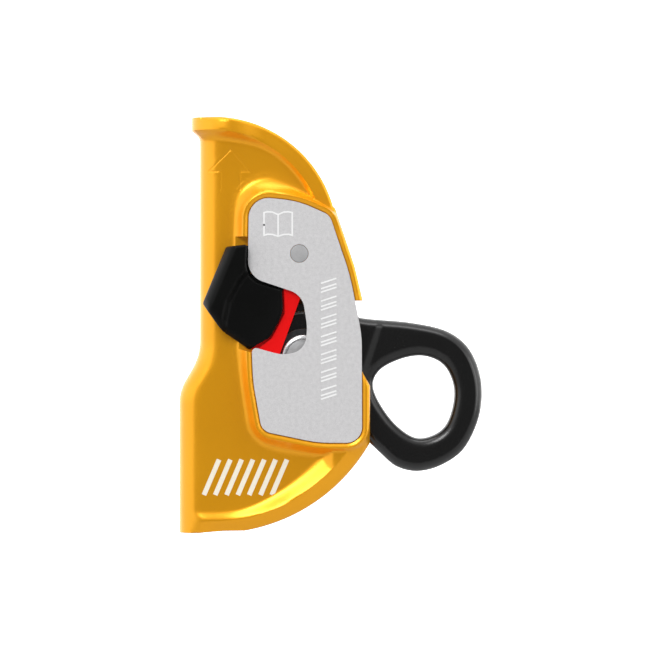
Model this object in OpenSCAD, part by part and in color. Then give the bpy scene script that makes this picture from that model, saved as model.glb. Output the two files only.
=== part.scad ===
// Openable cam-loaded rope clamp (ascender). Millimetres, +Z up the rope, front faces -Y.
// The origin lies on the rope line of the upper channel, level with the cam axle.

/* [Rope channel] */
// inner radius of the round rope channel
channel_r = 7; // [6:0.1:8]
// thickness of the round back
back_wall = 2.28; // [1.8:0.02:3]
// how far the lower channel is set back from the upper one
back_step = 6.6; // [4:0.1:8]
// height where the set-back starts
bend_top = -0.6; // [-4:0.1:4]
// height where the set-back ends
bend_bottom = -11.2; // [-16:0.1:-6]

/* [Body outline] */
// top of the body
top_z = 76.3; // [70:0.1:80]
// bottom of the body
bottom_z = -56.2; // [-60:0.1:-50]
// radius of the upper right edge
top_arc_r = 39.3; // [36:0.1:42]
// radius of the lower right edge
bottom_arc_r = 57; // [54:0.1:60]
// x of the centre of both edge arcs
arc_x = -4.48; // [-8:0.01:0]
// width of the raised rim at the top
top_rim_w = 5.3; // [3:0.1:7]
// width of the raised rim at the bottom
bottom_rim_w = 4; // [3:0.1:7]

/* [Thickness from the middle plane] */
// outer face of the web
web_y = 8.4; // [8:0.05:9]
// outer face of the top rim and its flare
top_rim_y = 11.9; // [10:0.1:13]
// outer face of the bottom rim
bottom_rim_y = 9.25; // [9:0.05:9.5]
// outer face of the raised pad
pad_y = 12.3; // [11.5:0.1:13.5]
// seat of the cover plate
seat_y = 11.1; // [10.5:0.05:12]
// outer face of the cover plate
plate_y = 12.2; // [11.6:0.05:13]
// floor of the catch pocket
floor_y = 9; // [8.8:0.05:9.5]
// outer face of the catch slider
slider_y = 11; // [10.5:0.05:11.5]
// outer face of the dished part of the thumb pad
dish_y = 12.6; // [12:0.1:14]
// outer face of the ridge of the thumb pad
ridge_y = 15.4; // [13:0.1:17]

/* [Cam] */
// x of the cam axle
axle_x = 23.9; // [20:0.1:28]
// radius of the axle
axle_r = 4; // [3:0.1:5]
// radius of the polished axle head
head_r = 6.9; // [5:0.1:8]
// radius of the runner that sits in the wall slot
runner_r = 8.95; // [8:0.05:10]
// reach of the cam face straight back from the axle
cam_reach = 27.95; // [25:0.05:29]
// spiral angle of the cam face
cam_spiral = 25; // [15:1:30]
// half thickness of the cam
cam_y = 6.5; // [5:0.1:6.7]
// half thickness of the connector eye
eye_y = 6; // [5:0.1:6.5]
// depth of the ribs across the cam face
rib_depth = 0.55; // [0:0.05:1]

/* [Catch] */
// slope of the catch track and of the mouth, degrees
track_angle = 20; // [10:1:30]
// the slider's straight edge, measured along the track
slider_end_u = 15.09; // [12:0.01:18]
// lower side of the slider, measured across the track
slider_low_v = 4.75; // [3:0.05:8]
// upper side of the slider, measured across the track
slider_high_v = 27.2; // [24:0.1:30]

/* [Show] */
// sub-part to draw

/* [Hidden] */
$fn = 96;
back_r = channel_r + back_wall;
tc = cos(track_angle);
ts = sin(track_angle);
top_arc_z = top_z - top_arc_r;
bottom_arc_z = bottom_z + bottom_arc_r;
far = 60;
gold = [0.89, 0.62, 0.05];
grey = [0.79, 0.79, 0.8];
steel = [0.72, 0.72, 0.72];
black = [0.09, 0.09, 0.09];

// straight stretches of the right edge, from the bottom up, with the mouth between the third and fourth
right_pts = [[45, -25.2], [45, -9.2], [42.6, -4.8], [42.7, 18], [40.2, 28.6], [34, 47.2]];
low_corner = [arc_x + bottom_arc_r * cos(-30), bottom_arc_z + bottom_arc_r * sin(-30)];
// left side of the raised pad, x z radius, from the top right round to the bottom right
pad_pts = [
    [35, -33.3, 8], [17, -31, 10], [5.4, -27.2, 12], [2.6, -6, 60], [0.6, 6, 0], [0.3, 38.2, 0],
    [0.7, 44, 10], [1.6, 57.6, 11], [15, 58.8, 10], [34, 47.2, 0]
];
// cover plate with the thumb window cut into its left side
plate_pts = [
    [6.56, 51.1, 6.4], [22.1, 49.5, 29], [32.2, 45, 4.5], [38.6, 26.1, 58], [42.4, 6.9, 38],
    [42.5, -27.3, 5], [28.5, -27.3, 38], [10.7, -23.6, 4.2], [7.8, -7.5, 60], [7.5, 3.2, 1.3],
    [17.3, 0.5, 11], [24.3, 2.1, 5.5], [25.1, 9.5, 16], [23.5, 19.7, 6.5], [6.2, 25.5, 7]
];
// thumb pad as seen from the front, with its edge on the slider
thumb_pts = [
    [-0.7, 35, 1], [5.9, 35.6, 0.6], [5.6, 24.6, 6.4], [17.1, 21.4, 0.4], [17.5, 14, 9], [13.3, 6.1, 5],
    [9.2, 3.9, 1], [6.7, 2.2, 1], [-2, 8.2, 12], [-8.2, 16.9, 1.2]
];
// thin ledge of the thumb pad that runs under the cover plate
ledge_pts = [
    [4.8, 35.3], [7.08, 35.3], [7.08, 26.3], [11.1, 24.85], [17.75, 22.45], [17.2, 20.9], [4.8, 23.8]
];
// ridge along the left of the thumb pad
ridge_pts = [
    [-0.9, 34.2, 1], [5.3, 34.9, 0.6], [5.2, 27.4, 0], [2.7, 24.2, 8], [-0.7, 18, 8], [-2.2, 11.7, 0],
    [-3.2, 10.4, 0.6], [-7.5, 16.8, 1.2]
];
rivet_at = [22.56, 32.8];
pin_at = [3, 16.5];
// outer edge of the connector eye from the arm round to the lower neck, and its opening
eye_edge = [
    [33, 15.7], [42, 12.45], [57.1, 11], [68.8, 8.5], [75.9, 3.6], [79.8, -4], [80.9, -12.4], [79.4, -21.1],
    [74.8, -29.8], [67.6, -34.8], [60.1, -36.6], [53.4, -35], [48.4, -30.8], [45, -27.6], [41, -24]
];
eye_opening = [
    [62.6, 0.2], [68.3, -2.3], [71.4, -7.6], [71.9, -14], [69.6, -21.5], [65.1, -25.2], [59.2, -25.8],
    [52.8, -21.2], [47.7, -14], [46.1, -8.4], [48.9, -3.7], [56, -0.4]
];
spring_u = 3.4;
spring_v = 29.6;
spring_len = 8.2;
spring_mid_y = 9.8;

// ---- helpers ----
function unit(v) = v / norm(v);

// a point given along and across the catch track
function uv(u, v) = [u * tc + v * ts, -u * ts + v * tc];

// the arc that rounds the corner b between a and c
function corner(a, b, c, r, step) =
    let (
        u = unit(a - b),
        w = unit(c - b),
        half = acos(max(-1, min(1, u * w))) / 2,
        t = r / tan(half),
        o = b + unit(u + w) * r / sin(half),
        side = (b - a)[0] * (c - b)[1] - (b - a)[1] * (c - b)[0] > 0 ? 1 : -1,
        p = b + u * t - o,
        from = atan2(p[1], p[0]),
        sweep = (180 - 2 * half) * side,
        k = max(1, ceil(abs(sweep) / step))
    )
    [for (j = [0:k]) o + r * [cos(from + sweep * j / k), sin(from + sweep * j / k)]];

// a closed outline with each corner rounded by its third number
function rounded(pts, step = 7) =
    let (n = len(pts))
    [for (i = [0:n - 1])
        let (
            a = pts[(i + n - 1) % n],
            b = pts[i],
            c = pts[(i + 1) % n]
        )
        each (b[2] == 0 ? [[b[0], b[1]]] : corner([a[0], a[1]], [b[0], b[1]], [c[0], c[1]], b[2], step))
    ];

// a clockwise outline moved outwards by d
function grow(pts, d) =
    let (n = len(pts))
    [for (i = [0:n - 1])
        let (
            e = unit(pts[i] - pts[(i + n - 1) % n]),
            f = unit(pts[(i + 1) % n] - pts[i]),
            m = [-e[1], e[0]],
            k = [-f[1], f[0]]
        )
        pts[i] + d * (m + k) / (1 + m * k)
    ];

// a smooth curve between b and c
function blend(a, b, c, d, t) =
    (2 * b + (c - a) * t + (2 * a - 5 * b + 4 * c - d) * t * t + (3 * b - a - 3 * c + d) * t * t * t) / 2;

// a smooth closed outline through the points, k steps between them
function ring_through(p, k) =
    let (n = len(p))
    [for (i = [0:n - 1]) for (j = [0:k - 1])
        blend(p[(i + n - 1) % n], p[i], p[(i + 1) % n], p[(i + 2) % n], j / k)];

// a smooth curve from the second point to the last but one
function curve_through(p, k) =
    [for (i = [1:len(p) - 3]) for (j = [0:k - 1]) blend(p[i - 1], p[i], p[i + 1], p[i + 2], j / k)];

// a flat outline in x and z, filled from y0 to y1
module slab(y0, y1) {
    rotate([90, 0, 0])
        translate([0, 0, -y1])
            linear_extrude(height = y1 - y0)
                children();
}

// the same slab in front of and behind the middle plane
module both(y0, y1) {
    slab(-y1, -y0)
        children();
    slab(y0, y1)
        children();
}

// a round bar along y at x z
module bar(at, r, y0, y1) {
    translate([at[0], y0, at[1]])
        rotate([-90, 0, 0])
            cylinder(r = r, h = y1 - y0);
}

module rear() {
    mirror([0, 1, 0])
        children();
}

// a wire of radius r along a path whose turns lie across ref
module wire(path, r, ref, n = 8) {
    m = len(path);
    dirs = [for (i = [0:m - 1]) unit(path[min(i + 1, m - 1)] - path[max(i - 1, 0)])];
    outs = [for (i = [0:m - 1]) unit(cross(dirs[i], ref))];
    rings = [for (i = [0:m - 1]) for (k = [0:n - 1])
        path[i] + r * (cos(360 * k / n) * outs[i] + sin(360 * k / n) * cross(outs[i], dirs[i]))];
    sides = [for (i = [0:m - 2]) for (k = [0:n - 1])
        [i * n + k, (i + 1) * n + k, (i + 1) * n + (k + 1) % n, i * n + (k + 1) % n]];
    caps = [
        [for (k = [0:n - 1]) k],
        [for (k = [0:n - 1]) m * n - 1 - k]
    ];
    polyhedron(points = rings, faces = concat(sides, caps), convexity = 6);
}

// ---- shell ----
// right-hand part of the body from the channel axis to the edge, anticlockwise
function low_arc(r) = [for (a = [-90:4:-30]) [arc_x + r * cos(a), bottom_arc_z + r * sin(a)]];
function high_arc(r) = [for (a = [16:4:84]) [arc_x + r * cos(a), top_arc_z + r * sin(a)]];
function wall_outline() = concat(
    low_arc(bottom_arc_r), right_pts, high_arc(top_arc_r),
    [[-1, top_z - 0.2], [-1, bend_top], [-back_step - 1, bend_bottom], [-back_step - 1, bottom_z]]
);
function flip(pts) = [for (i = [len(pts) - 1:-1:0]) pts[i]];
function low_rim() = concat(
    [[-back_step - 0.9, bottom_z]],
    low_arc(bottom_arc_r),
    flip(low_arc(bottom_arc_r - bottom_rim_w)),
    [[-back_step - 0.9, bottom_z + bottom_rim_w]]
);
function high_rim() = concat(
    high_arc(top_arc_r),
    [[-1, top_z - 0.2], [-1, top_z - top_rim_w]],
    flip(high_arc(top_arc_r - top_rim_w))
);
// the raised pad reaches the right edge and stops at the lower corner
function sharp(p) = [p[0], p[1], 0];
function pad_outline() = rounded(concat(
    [sharp(low_corner)], pad_pts, [for (i = [4:-1:0]) sharp(right_pts[i])]
));

// round bar that follows the set-back of the channel, from z0 up to z1
module bent_bar(r, z0, z1) {
    translate([0, 0, bend_top])
        cylinder(r = r, h = z1 - bend_top);
    translate([-back_step, 0, z0])
        cylinder(r = r, h = bend_bottom - z0);
    hull() {
        translate([0, 0, bend_top])
            cylinder(r = r - 0.03, h = 0.5, $fn = 64);
        translate([-back_step, 0, bend_bottom - 0.5])
            cylinder(r = r - 0.03, h = 0.5, $fn = 64);
    }
}

module channel_void() {
    gap = channel_r - 0.03;
    bent_bar(channel_r, bottom_z - 1, top_z + 1);
    slab(-gap, gap)
        polygon([
            [-0.5, top_z + 1], [-0.5, bend_top], [-back_step - 0.5, bend_bottom],
            [-back_step - 0.5, bottom_z - 1], [far, bottom_z - 1], [far, top_z + 1]
        ]);
    // eased rope mouths at both ends
    translate([0, 0, top_z - 1.6])
        cylinder(r1 = channel_r - 0.1, r2 = channel_r + 1.7, h = 1.8);
    translate([-back_step, 0, bottom_z - 0.2])
        cylinder(r1 = channel_r + 1.2, r2 = channel_r - 0.1, h = 1.5);
}

module top_flare() {
    intersection() {
        rotate_extrude()
            polygon([
                [back_r - 1, top_z], [top_rim_y - 0.6, top_z], [top_rim_y + 0.05, top_z - 0.6],
                [top_rim_y + 0.05, top_z - 3.9], [top_rim_y - 0.9, top_z - 5.4], [back_r + 0.5, top_z - 7.2],
                [back_r - 1, top_z - 9]
            ]);
        translate([-20, -20, top_z - 12])
            cube([20.4, 40, 13]);
    }
}

// slot that the runner and the axle head slide in along, and the open part of the mouth
module axle_slot() {
    both(channel_r - 0.5, pad_y + 0.5)
        polygon([
            uv(slider_end_u - 0.6, slider_low_v + 2), uv(slider_end_u - 0.6, 25.2), [24, 17.9], [far, 17.9],
            [far, -4.7], [42.5, -4.7], [axle_x + 9.15 * ts, -9.15 * tc], [axle_x, 0]
        ]);
    bar([axle_x, 0], 9.05, -pad_y - 0.5, pad_y + 0.5);
}

module catch_pocket() {
    both(floor_y, pad_y + 0.5)
        polygon([
            uv(-24, slider_low_v - 0.1), uv(-24, slider_high_v + 0.1), uv(-4.2, slider_high_v + 0.1),
            uv(-4.2, 32.3), uv(15.4, 32.3), uv(15.4, slider_low_v - 0.1)
        ]);
    both(floor_y, pad_y + 0.5)
        polygon([[7.6, 1.2], [2.4, 2.9], [-2, 5.8], [-6, 38.2], [7.2, 38.2]]);
    // trench under the spring
    both(web_y - 0.1, floor_y + 0.1)
        polygon([
            uv(spring_u - 1.6, spring_v - 1.5), uv(spring_u - 1.6, spring_v + 1.5),
            uv(13.4, spring_v + 1.5), uv(13.4, spring_v - 1.5)
        ]);
}

// engraved arrow that shows which way up the clamp goes
module arrow_grooves() {
    w = 0.28;
    both(web_y - 0.25, web_y + 0.5) {
        polygon([[-3.6, 61.4 - w], [-3.6, 61.4 + w], [0.7, 65.5 + w], [0.7, 65.5 - w]]);
        polygon([[0.7, 65.5 + w], [6.6, 59.2], [6.6, 58.6], [0.7, 65.5 - w]]);
        polygon([[3.4, 58.6], [3.4, 59.2], [6.6, 59.2], [6.6, 58.6]]);
        polygon([[3.4, 53], [3.4, 59.2], [3.9, 59.2], [3.9, 53]]);
        polygon([[-3.2, 53], [-3.2, 59.2], [-2.7, 59.2], [-2.7, 53]]);
    }
}

module shell() {
    color(gold)
        difference() {
            union() {
                slab(-web_y, web_y)
                    polygon(wall_outline());
                slab(-top_rim_y, top_rim_y)
                    polygon(high_rim());
                slab(-bottom_rim_y, bottom_rim_y)
                    polygon(low_rim());
                slab(-pad_y, pad_y)
                    polygon(pad_outline());
                bent_bar(back_r, bottom_z, top_z);
                top_flare();
            }
            channel_void();
            axle_slot();
            catch_pocket();
            arrow_grooves();
            both(seat_y, pad_y + 0.5)
                polygon(grow(rounded(plate_pts), 0.3));
            both(web_y - 0.1, pad_y)
                translate(rivet_at)
                    circle(r = 1.8);
            both(channel_r + 0.6, pad_y)
                translate(uv(spring_u, spring_v))
                    circle(r = 1.1);
        }
}

// ---- cover plates ----
module plate_front() {
    difference() {
        slab(-plate_y, -seat_y - 0.05)
            polygon(rounded(plate_pts));
        bar(rivet_at, 2.9, -plate_y - 1, -seat_y + 1);
    }
}
module rivet_front() {
    bar(rivet_at, 2.88, -plate_y - 0.1, -seat_y - 0.02);
    bar(rivet_at, 1.78, -seat_y - 0.1, -web_y);
}
module front_cover_plate() {
    color(grey)
        plate_front();
}
module rear_cover_plate() {
    color(grey)
        rear()
            plate_front();
}
module front_cover_rivet() {
    color(steel)
        rivet_front();
}
module rear_cover_rivet() {
    color(steel)
        rear()
            rivet_front();
}

// ---- catches ----
// slider seen from the front; its left end hides under the thumb pad
function slider_pts() = [
    uv(slider_end_u, slider_low_v), uv(6.7, slider_low_v), [-0.2, 9], [-5.4, 16.4],
    uv(-8.2, slider_high_v), uv(1.9, slider_high_v), uv(1.9, 32.1), uv(slider_end_u, 32.1)
];
module slider_front() {
    thin_y = 10.1;
    difference() {
        slab(-slider_y, -floor_y - 0.08)
            polygon(slider_pts());
        // the thumb pad sits on this thinner part
        slab(-slider_y - 1, -thin_y)
            polygon([
                [-12, 0], [-12, 36], uv(1.9, 34), uv(1.9, slider_high_v + 0.4), [17.6, 22.6],
                [17.8, 17.6], [17.9, 13.8], [13.7, 5.85], [9.9, 2.9], [9.2, 0]
            ]);
        bar(pin_at, 1.2, -20, 0);
        // window that holds the spring
        slab(-20, 0)
            polygon([
                uv(spring_u - 1.3, spring_v - 1.4), uv(spring_u - 1.3, spring_v + 1.4),
                uv(spring_u + 1.2 + spring_len, spring_v + 1.4),
                uv(spring_u + 1.2 + spring_len, spring_v - 1.4)
            ]);
    }
}
module thumb_front() {
    lap = 0.06;
    difference() {
        union() {
            slab(-dish_y, -10.1 - lap)
                polygon(rounded(thumb_pts));
            // skirt beyond the end of the slider
            slab(-10.6, -floor_y - 0.2)
                polygon([
                    [-7.6, 16.9], [-1.3, 33.4], uv(-8.4, slider_high_v + 0.3), uv(-8.5, 27), [-5.7, 16.4],
                    [-0.6, 9.1], [-2, 8.9]
                ]);
            slab(-slider_y, -10.1 - lap)
                polygon(ledge_pts);
            slab(-ridge_y, -dish_y + 0.5)
                polygon(rounded(ridge_pts));
        }
        bar(pin_at, 1.2, -11.9, 0);
    }
}
module pad_pin_front() {
    bar(pin_at, 1.18, -11.85, -floor_y - 0.1);
}
module spring_path_front() {
    turns = 6;
    r = 1;
    n = 14;
    path = [for (i = [0:turns * n])
        let (
            a = 360 * i / n,
            u = spring_u + 1.35 + (spring_len - 0.3) * i / (turns * n),
            p = uv(u, spring_v + r * cos(a))
        )
        [p[0], -spring_mid_y + r * sin(a), p[1]]];
    wire(path, 0.19, [tc, 0, -ts], 6);
}
module post_front() {
    bar(uv(spring_u, spring_v), 1.08, -slider_y, -channel_r - 0.65);
}
module front_catch_slider() {
    color([0.85, 0.05, 0.06])
        slider_front();
}
module rear_catch_slider() {
    color([0.85, 0.05, 0.06])
        rear()
            slider_front();
}
module front_thumb_pad() {
    color(black)
        thumb_front();
}
module rear_thumb_pad() {
    color(black)
        rear()
            thumb_front();
}
module front_pad_pin() {
    color(steel)
        pad_pin_front();
}
module rear_pad_pin() {
    color(steel)
        rear()
            pad_pin_front();
}
module front_catch_spring() {
    color(steel)
        spring_path_front();
}
module rear_catch_spring() {
    color(steel)
        rear()
            spring_path_front();
}
module front_spring_post() {
    color(steel)
        post_front();
}
module rear_spring_post() {
    color(steel)
        rear()
            post_front();
}

// ---- cam unit ----
module washer_y(r_out, r_in, y0, y1) {
    difference() {
        bar([axle_x, 0], r_out, y0, y1);
        bar([axle_x, 0], r_in, y0 - 1, y1 + 1);
    }
}
module head_front() {
    difference() {
        union() {
            bar([axle_x, 0], head_r, -10.4, -9.02);
            translate([axle_x, -10.4, 0])
                rotate([90, 0, 0])
                    cylinder(r1 = head_r, r2 = head_r - 0.5, h = 0.5);
        }
        // blind bore that hides the end of the axle
        bar([axle_x, 0], axle_r, -10.3, -8);
    }
}
module cam_axle() {
    color(steel)
        bar([axle_x, 0], axle_r, -10.25, 10.25);
}
module front_axle_head() {
    color(steel)
        head_front();
}
module rear_axle_head() {
    color(steel)
        rear()
            head_front();
}
module front_axle_runner() {
    color([0.25, 0.25, 0.26])
        washer_y(runner_r, axle_r, -9, -7.05);
}
module rear_axle_runner() {
    color([0.25, 0.25, 0.26])
        washer_y(runner_r, axle_r, 7.05, 9);
}
module front_thrust_washer() {
    color([0.85, 0.85, 0.8])
        washer_y(8.9, axle_r + 0.04, -6.95, -6.58);
}
module rear_thrust_washer() {
    color([0.85, 0.85, 0.8])
        washer_y(8.9, axle_r + 0.04, 6.58, 6.95);
}

// ---- cam ----
// reach of the ribbed spiral face at the angle b above straight back
function rib(b) = rib_depth * abs(((b + 400) % 5) / 2.5 - 1);
function face_r(b) = cam_reach * exp(-b * PI / 180 * tan(cam_spiral)) - rib(b);
function face_pt(b) = [axle_x - face_r(b) * cos(b), face_r(b) * sin(b)];
function cam_outline() = concat(
    [for (b = [-12.5:2.5:60]) face_pt(b)],
    corner([15.4, 14.9], [19.8, 18.9], [27, 18.7], 3, 10),
    corner([19.8, 18.9], [27, 18.7], [42, 12.45], 14, 6),
    curve_through(eye_edge, 5),
    corner([45, -27.6], [36, -18], [24, -14.5], 10, 6),
    corner([24, -14.5], [8, -13.5], [-4, -9.5], 20, 6)
);

module cam() {
    color(black)
        difference() {
            slab(-cam_y, cam_y)
                polygon(cam_outline());
            // thinner eye
            both(eye_y, cam_y + 1)
                polygon([[48.5, 14], [39.5, -30], [39.5, -45], [90, -45], [90, 14]]);
            slab(-cam_y - 1, cam_y + 1)
                polygon(ring_through(eye_opening, 5));
            bar([axle_x, 0], 5.2, -cam_y - 1, cam_y + 1);
            // lobe narrows towards the round rope channel
            for (s = [-1, 1])
                scale([1, s, 1])
                    translate([0, 0, -30])
                        linear_extrude(height = 60)
                            polygon([[2.6, 6.6], [-12, 6.6], [-12, 3.57]]);
            // recess and leg notch for the closing spring
            washer_y(9.6, 6.2, 2, cam_y + 1);
            translate([axle_x, 2, -0.8])
                cube([11.6, cam_y, 1.6]);
        }
}
module front_cam_bush() {
    color([0.75, 0.6, 0.3])
        washer_y(5.18, axle_r + 0.05, -cam_y, -0.3);
}
module rear_cam_bush() {
    color([0.75, 0.6, 0.3])
        washer_y(5.18, axle_r + 0.05, 0.3, cam_y);
}
module cam_spring() {
    turns = 2.75;
    n = 24;
    r = 7.9;
    coil = [for (i = [0:turns * n])
        let (a = -360 * i / n)
        [axle_x + r * cos(a), 2.7 + 1.15 * i / n, r * sin(a)]];
    leg = [[axle_x + 11, 2.75, 0], [axle_x + 9.2, 2.7, 0.05]];
    color(steel)
        wire(concat(leg, coil), 0.5, [0, 1, 0], 8);
}

shell();
front_cover_plate();
rear_cover_plate();
front_cover_rivet();
rear_cover_rivet();
front_catch_slider();
rear_catch_slider();
front_thumb_pad();
rear_thumb_pad();
front_pad_pin();
rear_pad_pin();
front_catch_spring();
rear_catch_spring();
front_spring_post();
rear_spring_post();
cam_axle();
front_axle_head();
rear_axle_head();
front_axle_runner();
rear_axle_runner();
front_thrust_washer();
rear_thrust_washer();
cam();
front_cam_bush();
rear_cam_bush();
cam_spring();
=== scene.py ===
import math

import bmesh
import bpy
import numpy as np
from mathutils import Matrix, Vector
from mathutils.geometry import delaunay_2d_cdt


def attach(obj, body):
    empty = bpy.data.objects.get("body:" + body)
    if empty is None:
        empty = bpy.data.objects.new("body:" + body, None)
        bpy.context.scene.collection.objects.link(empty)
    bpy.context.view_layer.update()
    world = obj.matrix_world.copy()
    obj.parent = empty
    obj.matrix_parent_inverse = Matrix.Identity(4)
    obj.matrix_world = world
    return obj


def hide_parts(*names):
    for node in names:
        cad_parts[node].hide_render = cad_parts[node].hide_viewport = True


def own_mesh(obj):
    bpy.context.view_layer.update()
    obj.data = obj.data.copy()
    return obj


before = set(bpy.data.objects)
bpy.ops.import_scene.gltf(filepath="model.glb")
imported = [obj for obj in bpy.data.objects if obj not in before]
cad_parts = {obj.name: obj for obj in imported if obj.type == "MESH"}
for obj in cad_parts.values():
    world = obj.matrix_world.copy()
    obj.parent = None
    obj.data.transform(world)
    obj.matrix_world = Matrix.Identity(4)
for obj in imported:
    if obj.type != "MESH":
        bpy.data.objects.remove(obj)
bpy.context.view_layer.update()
MM = 0.001
scene = bpy.context.scene

# ---------------------------------------------------------------- measures, mm
# rope channel, round back, and how far the channel is set back in its lower half
CH_R, BACK_R, STEP = 7.0, 9.28, 6.6
TOP, BOTTOM = 76.3, -56.2
# round edges of the walls at the top and the bottom, about centres on the line x = AX
R1, R2, AX = 39.3, 57.0, -4.48
Z1, Z2 = TOP - R1, BOTTOM + R2
# distances from the middle plane: web, top rim, raised pad, plate seat, pocket floor, plate face
WEB, RIM, PAD, SEAT, FLOOR, PLATE = 8.4, 11.9, 12.3, 11.1, 9.0, 12.2
AXLE = (23.9, 0.0)
# slope of the catch track
TC, TS = math.cos(math.radians(20)), math.sin(math.radians(20))
RIVET, PIN = (22.56, 32.8), (3.0, 16.5)
# outlines as x, z and the radius of the corner
RIGHT = [(45, -25.2), (45, -9.2), (42.6, -4.8), (42.7, 18), (40.2, 28.6), (34, 47.2)]
FOOT = [(62, -31, 0), (36, -33.2, 8), (17, -31, 10), (5.4, -27.2, 12), (2.6, -6, 60), (0.6, 6, 0),
        (0.3, 38.2, 0), (0.7, 44, 10), (1.6, 57.6, 11), (15, 58.8, 10), (34, 47.2, 0), (70, 26, 0)]
PLATE_PTS = [(6.56, 51.1, 6.4), (22.1, 49.5, 29), (32.2, 45, 4.5), (38.6, 26.1, 58), (42.4, 6.9, 38),
             (42.5, -27.3, 5), (28.5, -27.3, 38), (10.7, -23.6, 4.2), (7.8, -7.5, 60), (7.5, 3.2, 1.3),
             (17.3, 0.5, 11), (24.3, 2.1, 5.5), (25.1, 9.5, 16), (23.5, 19.7, 6.5), (6.2, 25.5, 7)]
THUMB = [(-0.7, 35, 1), (5.9, 35.6, 0.6), (5.6, 24.6, 6.4), (17.1, 21.4, 0.4), (17.5, 14, 9), (13.3, 6.1, 5),
         (9.2, 3.9, 1), (6.7, 2.2, 1), (-2, 8.2, 12), (-8.2, 16.9, 1.2)]
LEDGE = [(4.8, 35.3), (7.08, 35.3), (7.08, 26.3), (11.1, 24.85), (17.75, 22.45), (17.2, 20.9), (4.8, 23.8)]
EYE_EDGE = [(33, 15.7), (42, 12.45), (57.1, 11), (68.8, 8.5), (75.9, 3.6), (79.8, -4), (80.9, -12.4),
            (79.4, -21.1), (74.8, -29.8), (67.6, -34.8), (60.1, -36.6), (53.4, -35), (48.4, -30.8),
            (45, -27.6), (41, -24)]
EYE_OPENING = [(62.6, 0.2), (68.3, -2.3), (71.4, -7.6), (71.9, -14), (69.6, -21.5), (65.1, -25.2),
               (59.2, -25.8), (52.8, -21.2), (47.7, -14), (46.1, -8.4), (48.9, -3.7), (56, -0.4)]
# width of the flat lip round the plate, and how far its inner edge is eased
LIP_W, LIP_DROP = 1.65, 0.6
# catch spring: where its post stands along and across the track, and its distance from the middle plane
SPRING_U, SPRING_V, SPRING_Y = 3.4, 29.6, 9.8
# the picture's centre and width
VIEW_X, VIEW_Z, VIEW_W = 30.72, 10.112, 208.0


def uv(u, v):
    """A point given along and across the catch track."""
    return (u * TC + v * TS, -u * TS + v * TC)


# ---------------------------------------------------------------- flat geometry
def corner(a, b, c, r, step=5.0):
    """The arc that rounds the corner b between a and c."""
    a, b, c = (np.array(p[:2], float) for p in (a, b, c))
    u, w = (a - b) / np.linalg.norm(a - b), (c - b) / np.linalg.norm(c - b)
    half = math.acos(max(-1.0, min(1.0, float(u @ w)))) / 2
    t = r / math.tan(half)
    o = b + (u + w) / np.linalg.norm(u + w) * r / math.sin(half)
    side = 1 if (b - a)[0] * (c - b)[1] - (b - a)[1] * (c - b)[0] > 0 else -1
    p = b + u * t - o
    start, sweep = math.atan2(p[1], p[0]), (math.pi - 2 * half) * side
    k = max(1, math.ceil(abs(math.degrees(sweep)) / step))
    turns = [start + sweep * j / k for j in range(k + 1)]
    return [(o[0] + r * math.cos(t), o[1] + r * math.sin(t)) for t in turns]


def rounded(pts, step=5.0, closed=True):
    """An outline with each corner rounded by its third number."""
    out, n = [], len(pts)
    for i in range(n):
        r = pts[i][2] if len(pts[i]) > 2 else 0
        if r == 0 or (not closed and i in (0, n - 1)):
            out.append((pts[i][0], pts[i][1]))
        else:
            out += corner(pts[i - 1], pts[i], pts[(i + 1) % n], r, step)
    return out


def arc(cx, cz, r, a0, a1, step=2.0):
    """Points of an arc from a0 to a1 degrees, at most step degrees apart."""
    k = max(1, math.ceil(abs(a1 - a0) / step))
    turns = [math.radians(a0 + (a1 - a0) * j / k) for j in range(k + 1)]
    return [(cx + r * math.cos(t), cz + r * math.sin(t)) for t in turns]


def through(pts, k, closed=True):
    """A smooth curve through the points; an open one runs from the second to the last but one."""
    p, n, out = [np.array(q, float) for q in pts], len(pts), []
    for i in range(n) if closed else range(1, n - 2):
        a, b, c, d = p[i - 1], p[i], p[(i + 1) % n], p[(i + 2) % n]
        for j in range(k):
            t = j / k
            out.append(tuple((2 * b + (c - a) * t + (2 * a - 5 * b + 4 * c - d) * t ** 2
                              + (3 * b - a - 3 * c + d) * t ** 3) / 2))
    return out


def spaced(pts, step, closed=True):
    """The outline with its long stretches divided into steps."""
    out, n = [], len(pts)
    for i in range(n if closed else n - 1):
        a, b = pts[i], pts[(i + 1) % n]
        k = max(1, math.ceil(math.hypot(b[0] - a[0], b[1] - a[1]) / step))
        out += [(a[0] + (b[0] - a[0]) * j / k, a[1] + (b[1] - a[1]) * j / k) for j in range(k)]
    if not closed:
        out.append(pts[-1])
    return out


def clean(pts, tol=0.02):
    """The outline without points that fall on the one before."""
    out = []
    for p in pts:
        if not out or math.hypot(p[0] - out[-1][0], p[1] - out[-1][1]) > tol:
            out.append((float(p[0]), float(p[1])))
    if math.hypot(out[0][0] - out[-1][0], out[0][1] - out[-1][1]) <= tol:
        out.pop()
    return out


def dist(px, pz, line, closed=False):
    """Distance of each point to a polyline."""
    best = np.full(px.shape, 1e9)
    pts = list(line) + ([line[0]] if closed else [])
    for a, b in zip(pts[:-1], pts[1:]):
        dx, dz = b[0] - a[0], b[1] - a[1]
        L = dx * dx + dz * dz
        if L < 1e-12:
            continue
        t = np.clip(((px - a[0]) * dx + (pz - a[1]) * dz) / L, 0, 1)
        best = np.minimum(best, np.hypot(px - a[0] - t * dx, pz - a[1] - t * dz))
    return best


def inside(px, pz, poly):
    """Whether each point is inside the outline."""
    res = np.zeros(px.shape, bool)
    n = len(poly)
    for i in range(n):
        (x1, z1), (x2, z2) = poly[i], poly[(i + 1) % n]
        if z1 == z2:
            continue
        hit = ((z1 > pz) != (z2 > pz)) & (px < (x2 - x1) * (pz - z1) / (z2 - z1) + x1)
        res ^= hit
    return res


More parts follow.
